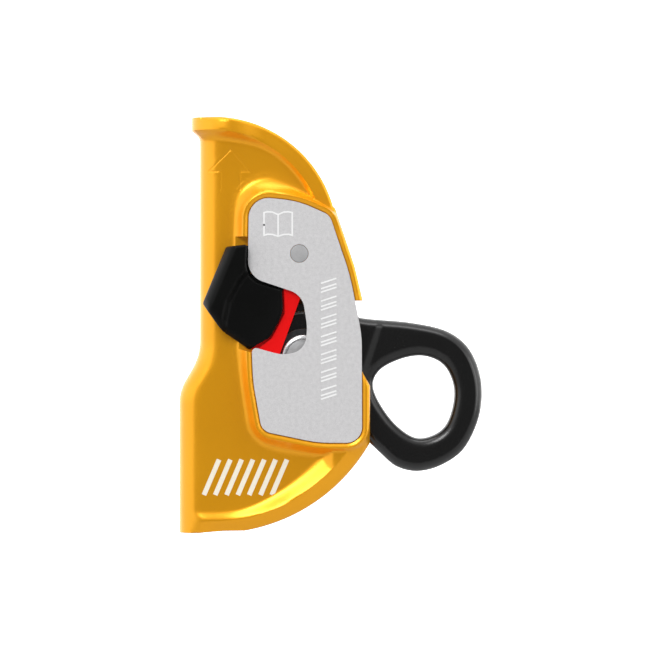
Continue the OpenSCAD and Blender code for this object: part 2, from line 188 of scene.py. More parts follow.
def grow(poly, d):
    """A clockwise outline moved outwards by d."""
    p = np.array(poly, float)
    e = p - np.roll(p, 1, 0)
    e /= np.linalg.norm(e, axis=1)[:, None]
    f = np.roll(e, -1, 0)
    m, k = np.stack([-e[:, 1], e[:, 0]], 1), np.stack([-f[:, 1], f[:, 0]], 1)
    return [tuple(q) for q in p + d * (m + k) / (1 + (m * k).sum(1))[:, None]]


def sstep(t):
    """A smooth step from 0 at t = 0 to 1 at t = 1."""
    t = np.clip(t, 0, 1)
    return t * t * (3 - 2 * t)


def smin(a, b, k):
    """The smaller of two heights with the crease blended over k."""
    h = np.clip(0.5 + 0.5 * (b - a) / k, 0, 1)
    return b + (a - b) * h - k * h * (1 - h)


def smax(a, b, k):
    """The larger of two heights with the crease blended over k."""
    return -smin(-a, -b, k)


# ---------------------------------------------------------------- meshes
def make_object(name, verts, faces):
    """A mesh object from vertices in mm."""
    me = bpy.data.meshes.new(name)
    me.from_pydata([(x * MM, y * MM, z * MM) for x, y, z in verts], [], faces)
    me.update()
    ob = bpy.data.objects.new(name, me)
    scene.collection.objects.link(ob)
    return ob


def tidy(ob, merge=0.002):
    """Merges doubles and turns all faces outwards."""
    bm = bmesh.new()
    bm.from_mesh(ob.data)
    bmesh.ops.remove_doubles(bm, verts=bm.verts, dist=merge * MM)
    bmesh.ops.dissolve_degenerate(bm, edges=bm.edges, dist=1e-8)
    bmesh.ops.recalc_face_normals(bm, faces=bm.faces)
    bm.to_mesh(ob.data)
    bm.free()
    return ob


def shade(ob, angle=32):
    """Smooth shading, with edges above the angle kept sharp."""
    ob.data.shade_smooth()
    ob.data.set_sharp_from_angle(angle=math.radians(angle))
    return ob


def prism(name, poly, y0, y1):
    """An outline in x and z made solid from y0 to y1."""
    n = len(poly)
    verts = [(x, y0, z) for x, z in poly] + [(x, y1, z) for x, z in poly]
    faces = [list(range(n)), list(range(2 * n - 1, n - 1, -1))]
    faces += [[i, n + i, n + (i + 1) % n, (i + 1) % n] for i in range(n)]
    return tidy(make_object(name, verts, faces), 1e-5)


def lathe(name, profile, at=(0, 0), seg=96):
    """Pairs of radius and y turned about the y direction; ends on the axis or closes on itself."""
    verts, faces, n = [], [], len(profile)
    for i in range(seg):
        a = 2 * math.pi * i / seg
        verts += [(at[0] + r * math.cos(a), y, at[1] + r * math.sin(a)) for r, y in profile]
    ring = profile[0][0] > 1e-6
    for i in range(seg):
        j = (i + 1) % seg
        faces += [[i * n + k, j * n + k, j * n + k + 1, i * n + k + 1] for k in range(n - 1)]
        if ring:
            faces.append([i * n + n - 1, j * n + n - 1, j * n, i * n])
    return tidy(make_object(name, verts, faces), 1e-4)


def cut(ob, tool):
    """Takes the tool away from the object and deletes the tool."""
    m = ob.modifiers.new("cut", "BOOLEAN")
    m.operation = "DIFFERENCE"
    m.object = tool
    m.solver = "MANIFOLD"
    dg = bpy.context.evaluated_depsgraph_get()
    me = bpy.data.meshes.new_from_object(ob.evaluated_get(dg))
    ob.modifiers.clear()
    ob.data = me
    bpy.data.objects.remove(tool)
    return ob


def relief(name, loops, inner, near, far):
    """A closed solid over the outlines in loops, the first outside and the rest holes.

    It reaches from y = near(x, z) to y = far(x, z), with the inner points as vertices on both faces.
    """
    pts, edges = [], []
    for lp in loops:
        base, n = len(pts), len(lp)
        pts += [Vector(p) for p in lp]
        edges += [(base + i, base + (i + 1) % n) for i in range(n)]
    if len(inner):
        q = np.array(inner, float)
        ok = inside(q[:, 0], q[:, 1], loops[0])
        for lp in loops[1:]:
            ok &= ~inside(q[:, 0], q[:, 1], lp)
        for lp in loops:
            ok &= dist(q[:, 0], q[:, 1], lp, True) > 0.12
        pts += [Vector(p) for p in q[ok]]
    v, _, f = delaunay_2d_cdt(pts, edges, [], 0, 1e-5, False)[:3]
    p = np.array([(a[0], a[1]) for a in v])
    f = np.array([t for t in f if len(t) == 3])
    c = p[f].mean(1)
    keep = inside(c[:, 0], c[:, 1], loops[0])
    for lp in loops[1:]:
        keep &= ~inside(c[:, 0], c[:, 1], lp)
    f = f[keep]
    yn, yf = near(p[:, 0], p[:, 1]), far(p[:, 0], p[:, 1])
    n = len(p)
    verts = np.concatenate([np.stack([p[:, 0], y, p[:, 1]], 1) for y in (yn, yf)])
    # an edge used in one direction only is on the rim
    sides = {}
    for t in f:
        for a, b in ((t[0], t[1]), (t[1], t[2]), (t[2], t[0])):
            sides[(a, b)] = 1
    faces = [list(map(int, t)) for t in f] + [[int(i) + n for i in t[::-1]] for t in f]
    faces += [[int(b), int(a), int(a) + n, int(b) + n] for a, b in sides if (b, a) not in sides]
    return tidy(make_object(name, verts.tolist(), faces))


def grid(x0, x1, z0, z1, step):
    """Points in rows of equal triangles."""
    xs, zs = np.arange(x0, x1, step), np.arange(z0, z1, step * 0.866)
    gx, gz = np.meshgrid(xs, zs)
    gx = gx + (np.arange(len(zs)) % 2)[:, None] * step / 2
    return np.stack([gx.ravel(), gz.ravel()], 1)


def far_from(q, lines, d):
    """The points further than d from every line."""
    ok = np.ones(len(q), bool)
    for ln in lines:
        ok &= dist(q[:, 0], q[:, 1], ln) > d
    return q[ok]


def skin(m, n):
    """The faces of a closed tube of m rings with n points each."""
    faces = []
    for i in range(m - 1):
        for k in range(n):
            j = (k + 1) % n
            faces.append([i * n + k, i * n + j, (i + 1) * n + j, (i + 1) * n + k])
    return faces + [list(range(n)), [m * n - 1 - k for k in range(n)]]


def thinned(pts, cell):
    """The first point in each square cell."""
    kept = {}
    for a in pts:
        kept.setdefault((round(a[0] / cell), round(a[1] / cell)), a)
    return list(kept.values())


def tube(name, path, r, ref, n=12):
    """A round wire along a path whose turns lie across ref."""
    p = np.array(path, float)
    t = np.gradient(p, axis=0)
    t /= np.linalg.norm(t, axis=1)[:, None]
    o = np.cross(t, ref)
    o /= np.linalg.norm(o, axis=1)[:, None]
    b = np.cross(t, o)
    verts, m = [], len(p)
    for i in range(m):
        for k in range(n):
            a = 2 * math.pi * k / n
            verts.append(tuple(p[i] + r * (math.cos(a) * o[i] + math.sin(a) * b[i])))
    return tidy(make_object(name, verts, skin(m, n)), 1e-4)


# ---------------------------------------------------------------- materials
def nodes_of(name):
    """A new material, its node tree and its main shader."""
    m = bpy.data.materials.new(name)
    m.use_nodes = True
    nt = m.node_tree
    bsdf = nt.nodes["Principled BSDF"]
    return m, nt, bsdf


def rgb(r, g, b):
    """A display colour from 0 to 255 as linear values."""
    linear = []
    for c in (r / 255, g / 255, b / 255):
        linear.append(c / 12.92 if c <= 0.04045 else ((c + 0.055) / 1.055) ** 2.4)
    return tuple(linear) + (1,)


def finish_mat(name, low, high, rough, grain, blotch, bump, bump_scale, metal=0.0, coat=0.0,
               coat_rough=0.1, spec=0.5, bevel=0.0, stretch=(1, 1, 1), bump2=0.0, bump2_scale=300.0,
               mix_fac=0.5):
    """Two tones mixed by fine and broad noise, a varied roughness and a fine surface grain.

    Scales are per metre; the bumps and the bevel are in mm.
    """
    m, nt, b = nodes_of(name)
    N, L = nt.nodes, nt.links
    tc = N.new("ShaderNodeTexCoord")
    mp = N.new("ShaderNodeMapping")
    mp.inputs["Scale"].default_value = stretch
    L.new(tc.outputs["Object"], mp.inputs["Vector"])

    def noise(scale, detail, rough_):
        """A noise texture in the object's own space."""
        t = N.new("ShaderNodeTexNoise")
        t.inputs["Scale"].default_value = scale
        t.inputs["Detail"].default_value = detail
        t.inputs["Roughness"].default_value = rough_
        L.new(mp.outputs["Vector"], t.inputs["Vector"])
        return t
    fine, broad = noise(grain, 4, 0.6), noise(blotch, 3, 0.5)
    add = N.new("ShaderNodeMath")
    add.operation = "MULTIPLY_ADD"
    add.inputs[1].default_value = 0.6
    L.new(fine.outputs["Fac"], add.inputs[0])
    sub = N.new("ShaderNodeMath")
    sub.operation = "MULTIPLY"
    sub.inputs[1].default_value = 0.4
    L.new(broad.outputs["Fac"], sub.inputs[0])
    L.new(sub.outputs[0], add.inputs[2])
    ramp = N.new("ShaderNodeValToRGB")
    ramp.color_ramp.elements[0].position = 0.5 - mix_fac / 2
    ramp.color_ramp.elements[0].color = low
    ramp.color_ramp.elements[1].position = 0.5 + mix_fac / 2
    ramp.color_ramp.elements[1].color = high
    L.new(add.outputs[0], ramp.inputs["Fac"])
    L.new(ramp.outputs["Color"], b.inputs["Base Color"])
    mr = N.new("ShaderNodeMapRange")
    mr.inputs["From Min"].default_value = 0.3
    mr.inputs["From Max"].default_value = 0.7
    mr.inputs["To Min"].default_value = rough[0]
    mr.inputs["To Max"].default_value = rough[1]
    L.new(add.outputs[0], mr.inputs["Value"])
    L.new(mr.outputs["Result"], b.inputs["Roughness"])
    b.inputs["Metallic"].default_value = metal
    b.inputs["Specular IOR Level"].default_value = spec
    b.inputs["Coat Weight"].default_value = coat
    b.inputs["Coat Roughness"].default_value = coat_rough
    tex = noise(bump_scale, 3, 0.6)
    bp = N.new("ShaderNodeBump")
    bp.inputs["Strength"].default_value = 1.0
    bp.inputs["Distance"].default_value = bump * MM
    L.new(tex.outputs["Fac"], bp.inputs["Height"])
    last = bp
    if bump2:
        tex2 = noise(bump2_scale, 2, 0.5)
        bp2 = N.new("ShaderNodeBump")
        bp2.inputs["Strength"].default_value = 1.0
        bp2.inputs["Distance"].default_value = bump2 * MM
        L.new(tex2.outputs["Fac"], bp2.inputs["Height"])
        L.new(bp2.outputs["Normal"], bp.inputs["Normal"])
        first = bp2
    else:
        first = bp
    if bevel:
        bv = N.new("ShaderNodeBevel")
        bv.samples = 6
        bv.inputs["Radius"].default_value = bevel * MM
        L.new(bv.outputs["Normal"], first.inputs["Normal"])
    L.new(last.outputs["Normal"], b.inputs["Normal"])
    return m


FINISH = {}
FINISH["gold"] = finish_mat(
    "gold_anodised", rgb(249, 168, 2), rgb(254, 178, 4), rough=(0.3, 0.36), metal=0.58, grain=2600,
    blotch=45, bump=0.006, bump_scale=5000, bevel=0.25, bump2=0.012, bump2_scale=900, coat=0.3,
    coat_rough=0.25, spec=0.5)
FINISH["plate"] = finish_mat(
    "plate_blasted", rgb(194, 193, 194), rgb(218, 217, 218), rough=(0.5, 0.62), metal=0.12, grain=3600,
    blotch=900, bump=0.012, bump_scale=4500, bevel=0.22, mix_fac=0.35)
FINISH["rivet"] = finish_mat(
    "rivet_steel", rgb(172, 172, 173), rgb(192, 192, 193), rough=(0.4, 0.5), metal=0.35, grain=3000,
    blotch=300, bump=0.006, bump_scale=6000, bevel=0.08)
FINISH["red"] = finish_mat(
    "red_plastic", rgb(230, 6, 8), rgb(239, 9, 11), rough=(0.36, 0.44), grain=2500, blotch=90,
    bump=0.003, bump_scale=6000, bevel=0.15, spec=0.2)
FINISH["black"] = finish_mat(
    "black_plastic", rgb(3, 3, 3), rgb(7, 8, 7), rough=(0.4, 0.5), grain=3000, blotch=90, bump=0.012,
    bump_scale=4200, bevel=0.25, spec=0.11)
FINISH["cam"] = finish_mat(
    "cam_black", rgb(2, 2, 2), rgb(5, 5, 5), rough=(0.22, 0.28), grain=2200, blotch=60, bump=0.006,
    bump_scale=4000, bevel=0.3, bump2=0.015, bump2_scale=600, spec=0.58)
FINISH["steel"] = finish_mat(
    "turned_steel", rgb(186, 186, 188), rgb(212, 212, 213), rough=(0.22, 0.32), metal=1.0, grain=2500,
    blotch=300, bump=0.004, bump_scale=5000, bevel=0.12)
FINISH["head"] = finish_mat(
    "head_steel", rgb(160, 160, 162), rgb(200, 200, 201), rough=(0.3, 0.42), metal=0.6, grain=2500,
    blotch=500, bump=0.006, bump_scale=4000, bevel=0.06, stretch=(0.25, 1, 1))
FINISH["dark"] = finish_mat(
    "runner_dark", rgb(62, 62, 64), rgb(84, 84, 86), rough=(0.32, 0.42), metal=0.85, grain=2500,
    blotch=200, bump=0.004, bump_scale=5000, bevel=0.12)
FINISH["wire"] = finish_mat(
    "spring_wire", rgb(150, 150, 152), rgb(182, 182, 184), rough=(0.25, 0.35), metal=1.0, grain=3500,
    blotch=300, bump=0.003, bump_scale=7000)
FINISH["bush"] = finish_mat(
    "bronze_bush", rgb(176, 138, 76), rgb(198, 158, 92), rough=(0.35, 0.5), metal=0.95, grain=3500,
    blotch=300, bump=0.01, bump_scale=6000)
FINISH["washer"] = finish_mat(
    "washer_polymer", rgb(206, 203, 190), rgb(222, 219, 206), rough=(0.4, 0.5), grain=3000, blotch=200,
    bump=0.004, bump_scale=5000)
FINISH["print"] = finish_mat(
    "white_print", rgb(236, 236, 236), rgb(248, 248, 248), rough=(0.5, 0.6), grain=4000, blotch=200,
    bump=0.003, bump_scale=7000)
FINISH["print2"] = finish_mat(
    "cream_print", rgb(240, 234, 214), rgb(250, 244, 226), rough=(0.45, 0.55), grain=4000, blotch=200,
    bump=0.003, bump_scale=7000)


def dress(ob, mat, body, slot, *nodes):
    """Gives a piece its finish and its body, and hides the CAD nodes that it stands for; the slot is not
    used.
    """
    ob.data.materials.clear()
    ob.data.materials.append(FINISH[mat])
    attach(ob, body)
    if nodes:
        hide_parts(*nodes)
    return ob


# ---------------------------------------------------------------- shell
BEND = rounded([(0, 90), (0, 0.35, 18), (-STEP, -11.1, 14), (-STEP, -70)], 3.0, closed=False)
BZ = np.array([p[1] for p in BEND])[::-1]
BX = np.array([p[0] for p in BEND])[::-1]


def axis_x(z):
    """The x of the rope channel's axis at a height."""
    return np.interp(z, BZ, BX)


def d_top(x, z):
    """How far a point is inside the top edge."""
    return np.where(x > AX, R1 - np.hypot(x - AX, z - Z1), TOP - z)


def d_low(x, z):
    """How far a point is inside the bottom edge."""
    return np.where(x > AX, R2 - np.hypot(x - AX, z - Z2), z - BOTTOM)


# the engraved arrow in two halves
ARROW = [[(0.7, 65.9), (-6.3, 59), (-2.5, 59), (-2.5, 53.2)],
         [(0.7, 65.9), (6.6, 59), (3.7, 59), (3.7, 53.2)]]
# how far the top rim stands out at its right end, and how much the bottom rim rises over the back
TOP_RIM_END, LOW_RIM_RISE = 9.75, 1.5


def arrow_dist(p):
    """How far each point is from the engraved arrow."""
    return np.minimum(dist(p[:, 0], p[:, 1], ARROW[0]), dist(p[:, 0], p[:, 1], ARROW[1]))


foot = rounded(FOOT, 4.0)
plate_line = clean(rounded(PLATE_PTS, 4.0))
lip_line = clean(grow(plate_line, LIP_W))
right_edge = rounded([(x, z, 25 if (x, z) == RIGHT[4] else 0) for x, z in RIGHT], 3.0, closed=False)
cut_edges = (arc(AX, Z2, R2, -90, -30) + right_edge + arc(AX, Z1, R1, 16, 90) + [(-14, TOP)])
cut_edges = [(-20, BOTTOM)] + cut_edges


def top_rim(x):
    """How far the top rim stands out, falling from the back to the right."""
    return TOP_RIM_END + (RIM - TOP_RIM_END) * (1 - sstep(x / 13))


def top_fade(dt, x):
    """1 on the top rim, falling to 0 on the web."""
    k = sstep(x / 15)
    return (1 - np.clip((dt - 4.3 - 0.4 * k) / (3.4 - 1.7 * k), 0, 1)) ** 2


def low_fade(dl, x):
    """1 on the bottom rim, falling to 0 on the web."""
    return (1 - np.clip((dl - 3.9 - 0.8 * sstep(x / 30)) / (3.4 + 2.6 * sstep(x / 30)), 0, 1)) ** 1.6


def outer(x, z):
    """How far the shell's outer surface is from the middle plane."""
    ax = axis_x(z)
    dt = np.where(z > 30, d_top(x, z), 99)
    dl = np.where(z < 5, d_low(x, z), 99)
    ft, fl = top_fade(dt, x), low_fade(dl, x)
    rt = top_rim(x)
    rad = BACK_R + (RIM - BACK_R) * ft
    dx = np.minimum(x - ax, 0)
    circ = np.sqrt(np.maximum(rad ** 2 - dx ** 2, 0))
    circ = circ - np.where(x > ax, (RIM - rt) * ft, 0)
    hb = BACK_R + LOW_RIM_RISE * sstep((x + 2) / 22)
    circ = circ + np.where(x > ax, (hb - BACK_R) * fl, 0)
    cap = WEB + (rt + 0.5 - WEB) * ft + (hb + 0.5 - WEB) * fl
    h = smin(circ, cap, 0.6)
    # raised pad: a broad fillet that steepens towards its lip
    inn = inside(x, z, foot)
    dp = np.where(inn, dist(x, z, foot, True), 0)
    to_lip = np.where(inside(x, z, lip_line), 0, dist(x, z, lip_line, True))
    t = dp / (dp + to_lip + 1e-4)
    pad = smin(WEB - 0.15 + (PAD - WEB + 0.5) * t ** 2.1, PAD + 0 * t, 0.35)
    h = np.where(inn, smax(h, pad, 0.5), h)
    h = np.minimum(h, PAD)
    pe = dist(x, z, plate_line, True)
    h = h - np.where(inn, LIP_DROP * (1 - np.clip(pe / 1.3, 0, 1)) ** 1.2, 0)
    # the web ends in a rounded corner where the bottom rim joins the pad
    end = WEB - 0.6 + (hb - WEB + 0.6) * sstep((x - 28.5) / 5.5)
    h = np.where((z < -22) & (dl > 4.2) & (x > 27), smax(h, end, 0.4), h)
    # the bottom rim falls away from its crest, the top rim a little
    low_fall = (1 - np.clip(dl / (4.0 + 0.8 * sstep(x / 30)), 0, 1)) ** 1.15
    h = h - 2.3 * low_fall * sstep((x + 13) / 12) * (1 - t ** 3)
    h = h - 0.45 * (1 - np.clip(dt / 4.2, 0, 1)) ** 1.3 * sstep((z - 32) / 12)
    # every cut edge is rounded over
    e = dist(x, z, cut_edges)
    r = 0.8 + 0.4 * sstep((x - 33) / 4)
    q = np.clip(1 - e / r, 0, 1)
    h = np.where(h > 7.4, np.maximum(h - r * (1 - np.sqrt(1 - q * q)), 7.4), h)
    for ln in ARROW:
        h = h - 0.1 * np.exp(-(dist(x, z, ln) / 0.2) ** 2)
    return np.maximum(h, 0)


def left_edge(z):
    """The x of the round back's outline at a height."""
    ft = top_fade(TOP - z, -9 + 0 * z)
    return axis_x(z) - (BACK_R + (RIM - BACK_R) * ft)


def build_shell():
    """The shell: its outer form, then the rope channel, slots and pockets cut out of it."""
    zs = np.concatenate([np.arange(TOP, 66, -0.3), np.arange(66, 3.2, -0.7), np.arange(3, -15, -0.15),
                         np.arange(-15.2, -40, -0.7), np.arange(-40, BOTTOM, -0.4), [BOTTOM]])
    left = [(float(left_edge(np.array(z))), float(z)) for z in zs]
    low_arc = arc(AX, Z2, R2, -90, -30, 1.0)
    top_arc = arc(AX, Z1, R1, 16, 90, 1.2)
    right = clean(spaced(low_arc + right_edge + top_arc, 0.6, False))
    right[0] = (AX, BOTTOM)
    low = spaced([(left[-1][0], BOTTOM), (AX, BOTTOM)], 0.6, False)
    top = spaced([(AX, TOP), (left[0][0], TOP)], 0.6, False)
    loop = clean(left + low[1:-1] + right + top[1:-1], 0.03)
    pts = []
    # points round the back in rows, closer where the back steps out
    rows = np.concatenate([np.arange(BOTTOM + 0.4, -15, 0.55), np.arange(-14.85, 3.1, 0.15),
                           np.arange(3.5, TOP - 0.2, 0.55)])
    for z in rows:
        ax, le = float(axis_x(z)), float(left_edge(np.array(z)))
        for th in (4, 8, 13, 19, 26, 34, 42, 50, 58, 66, 74, 82, 90):
            pts.append((ax - (ax - le) * math.cos(math.radians(th)), z))
    q = grid(-8, 46, -56, 76, 0.55)
    q = q[q[:, 0] > axis_x(q[:, 1]) + 0.4]
    # lines along each change of slope
    lines = []
    for d in (4.2, 4.7, 5.2, 5.8, 6.4, 7.7):
        lines.append(spaced(arc(AX, Z1, R1 - d, 12, 90, 0.9), 0.5, False))
    for d in (3.9, 4.3, 4.8):
        lines.append(spaced(arc(AX, Z2, R2 - d, -90, -35, 0.7), 0.5, False))
    inner_lip = clean(spaced(lip_line, 0.5))
    inner_lip2 = clean(spaced(grow(lip_line, 0.35), 0.5))
    lines += [inner_lip, inner_lip2, spaced(foot, 0.5)]
    lines += [spaced(clean(grow(foot, -d)), 0.5) for d in (0.4, 0.8)]
    lines += [spaced(clean(grow(plate_line, d)), 0.5) for d in (0.3, 0.75, 1.3)]
    for d in (0.12, 0.35, 0.7, 1.1):
        lines.append([p for p in spaced(clean(grow(loop[::-1], -d)), 0.45) if p[0] > 0])
    q = far_from(q, lines, 0.28)
    fine = grid(-7.3, 7.6, 52, 66.8, 0.2)
    fine = fine[arrow_dist(fine) < 0.9]
    q = q[arrow_dist(q) > 0.95]
    p = np.array(pts)
    p = p[arrow_dist(p) > 0.95]
    on_wall = [np.array([a for a in ln if a[0] > axis_x(a[1]) + 0.3]) for ln in lines]
    inner = thinned(np.concatenate([p, q, fine] + on_wall), 0.12)
    ob = relief("body_shell", [loop], inner, lambda x, z: -outer(x, z), outer)
    # rope channel, eased at both mouths
    verts, n = [], 0
    zz = [BOTTOM - 1, BOTTOM + 0.2, BOTTOM + 0.7, BOTTOM + 1.6, -40, -16]
    zz += list(np.arange(-14, 3, 0.8))
    zz += [6, 20, 40, TOP - 1.8, TOP - 0.8, TOP - 0.3, TOP + 1]
    for z in zz:
        near = min(z - BOTTOM, TOP - z)
        r = CH_R + 1.3 * max(0.0, 1 - max(near, 0) / 1.7) ** 2
        ax = float(axis_x(z))
        turns = [math.radians(a) for a in range(5, 180, 5)]
        back = [(ax - r * math.sin(t), -r * math.cos(t)) for t in turns]
        sec = [(70.0, -CH_R), (ax, -r)] + back + [(ax, r), (70.0, CH_R)]
        n = len(sec)
        verts += [(x, y, z) for x, y in sec]
    cut(ob, tidy(make_object("t", verts, skin(len(zz), n)), 1e-5))
    # the axle's slot, and on each face the plate's seat, the catch's pocket and notch, the spring's trench
    slot = [uv(14.49, 6.75), uv(14.49, 25.2), (24, 17.9), (60, 17.9), (60, -4.7), (42.5, -4.7)]
    slot += arc(AXLE[0], 0, 9.1, -70, -200, 4)
    cut(ob, prism("t", clean(slot), -16, 16))
    seat = grow(clean(rounded(PLATE_PTS, 5)), 0.28)
    pocket = [uv(-24, 4.65), uv(-24, 27.3), uv(-4.2, 27.3), uv(-4.2, 32.3), uv(15.4, 32.3), uv(15.4, 4.65)]
    notch = [(7.6, 1.2), (2.4, 2.9), (-2, 5.8), (-6, 38.2), (7.2, 38.2)]
    trench = [uv(1.8, 28.1), uv(1.8, 31.1), uv(13.4, 31.1), uv(13.4, 28.1)]
    for s in (-1, 1):
        for poly, a in ((seat, SEAT), (pocket, FLOOR), (notch, FLOOR)):
            y = sorted((s * a, s * 16))
            cut(ob, prism("t", poly, *y))
        y = sorted((s * 8.3, s * 9.2))
        cut(ob, prism("t", trench, *y))
    shade(ob, 30)
    return dress(ob, "gold", "body", "gold_body", "shell")


build_shell()


# ---------------------------------------------------------------- cover plates, rivets
def stroke(name, lines, w, y0, y1):
    """Bands of width w along polylines, each a thin closed solid."""
    verts, faces = [], []
    for j, ln in enumerate(lines):
        p = np.array(ln, float)
        d = p[1:] - p[:-1]
        d /= np.linalg.norm(d, axis=1)[:, None]
        nrm = np.stack([-d[:, 1], d[:, 0]], 1)
        mitre = (nrm[1:] + nrm[:-1]) / (1 + (nrm[1:] * nrm[:-1]).sum(1))[:, None]
        m = np.concatenate([nrm[:1], mitre, nrm[-1:]])
        p[0] -= d[0] * w * 0.35
        p[-1] += d[-1] * w * 0.35
        q = [tuple(a) for a in p + m * w / 2] + [tuple(a) for a in (p - m * w / 2)[::-1]]
        n, k, top = len(q), len(verts), y1 + (y1 - y0) * 0.2 * (j % 3)
        verts += [(x, y0, z) for x, z in q] + [(x, top, z) for x, z in q]
        h = n // 2
        for o, flip in ((k, False), (k + n, True)):
            quads = [[o + i, o + i + 1, o + n - 2 - i, o + n - 1 - i] for i in range(h - 1)]
            faces += [f[::-1] if flip else f for f in quads]
        faces += [[k + i, k + n + i, k + n + (i + 1) % n, k + (i + 1) % n] for i in range(n)]
    return tidy(make_object(name, verts, faces), 1e-5)


# a plain open book: for points from its spine outwards, how far across, top edge, bottom edge
SPINE, HALF = 15.84, 4.48
PAGE = [(0, 45.152, 38.272), (1.76, 45.952, 38.848), (3.36, 46.048, 38.912), (HALF, 45.792, 38.592)]
TOP_EDGE = [(SPINE - d, t) for d, t, _ in PAGE[:0:-1]] + [(SPINE + d, t) for d, t, _ in PAGE]
LOW_EDGE = [(SPINE + d, b) for d, _, b in PAGE[:0:-1]] + [(SPINE - d, b) for d, _, b in PAGE]
BAND = [(SPINE - HALF, 41.792)] + TOP_EDGE + LOW_EDGE + [(SPINE - HALF, 41.952)]
BOOK = [BAND, [(SPINE, PAGE[0][1]), (SPINE, PAGE[0][2])]]
# short slanted bars up the plate, with a second one over every other
BAR_X0, BAR_X1, BAR_Z, BAR_PITCH = 29.6, 34.2, -13.4, 2.83
BARS = []
for i in range(14):
    z = BAR_Z + i * BAR_PITCH
    BARS.append([(BAR_X0, z), (BAR_X1, z + 1.5)])
    if i % 2 == 0:
        BARS.append([(BAR_X0, z + 1.1), (BAR_X1, z + 2.6)])


def build_plate(side):
    """One cover plate with its rivet and its marks."""
    s = -1 if side == "front" else 1
    poly = clean(rounded(PLATE_PTS, 4))
    ob = prism(side + "_plate", poly, *sorted((s * (SEAT + 0.05), s * PLATE)))
    cut(ob, lathe("t", [(0, s * 9), (2.9, s * 9), (2.9, s * 14), (0, s * 14)], RIVET))
    shade(ob, 35)
    dress(ob, "plate", "body", "cover", side + "_cover_plate")
    y = s * (PLATE + 0.01)
    r = 2.82
    under = s * (SEAT + 0.05)
    rv = lathe(side + "_rivet", [(0, y), (r - 0.5, y), (r - 0.12, y - s * 0.05), (r, y - s * 0.2),
                                 (r, under), (1.78, under), (1.78, s * 8.45), (0, s * 8.45)], RIVET)
    dress(shade(rv), "rivet", "body", "rivet", side + "_cover_rivet")
    marks = stroke(side + "_marks", BOOK, 0.5, s * (PLATE - 0.02), s * (PLATE + 0.05))
    bars = stroke(side + "_bars", BARS, 0.5, s * (PLATE - 0.02), s * (PLATE + 0.05))
    for o in (marks, bars):
        dress(o, "print", "body", "cover")


for side in ("front", "rear"):
    build_plate(side)


# ---------------------------------------------------------------- catches
# the crest between the thumb pad's ridge and its dish
INNER_RIDGE = [(7.5, 37), (5.9, 28.3), (2.7, 24.2), (-0.7, 18.0), (-2.1, 11.7), (-2.3, 4), (-2.4, -4)]


def thumb_top(x, z):
    """How far the thumb pad's top is from the middle plane: a ridge on the left, a dish on the right."""
    # the ridge rises from the pad's long left edge
    ex, ez = 7.5 / 19.59, 18.1 / 19.59
    a = (x + 8.2) * ez - (z - 16.9) * ex
    ridge = 11.4 + 4.0 * np.sin(np.clip(a / 3.4, 0, 1) * math.pi / 2)
    poly = INNER_RIDGE + [(40, -4), (40, 37)]
    b = dist(x, z, INNER_RIDGE) * np.where(inside(x, z, poly), 1, -1)
    u = x * TC - z * TS
    dish = 11.9 + 0.010 * (u - 4.5) ** 2
    s = sstep((b + 0.5) / 2.6)
    h = ridge * (1 - s) + dish * s
    e = dist(x, z, THUMB_LINE, True)
    low = dist(x, z, [(-8.2, 16.9), (-2, 8.2), (6.7, 2.2)])
    h = h - 1.6 * (1 - np.clip(low / 2.2, 0, 1)) ** 1.5
    q = np.clip(1 - e / 0.7, 0, 1)
    return h - 0.7 * (1 - np.sqrt(1 - q * q))


THUMB_LINE = clean(rounded(THUMB, 5))


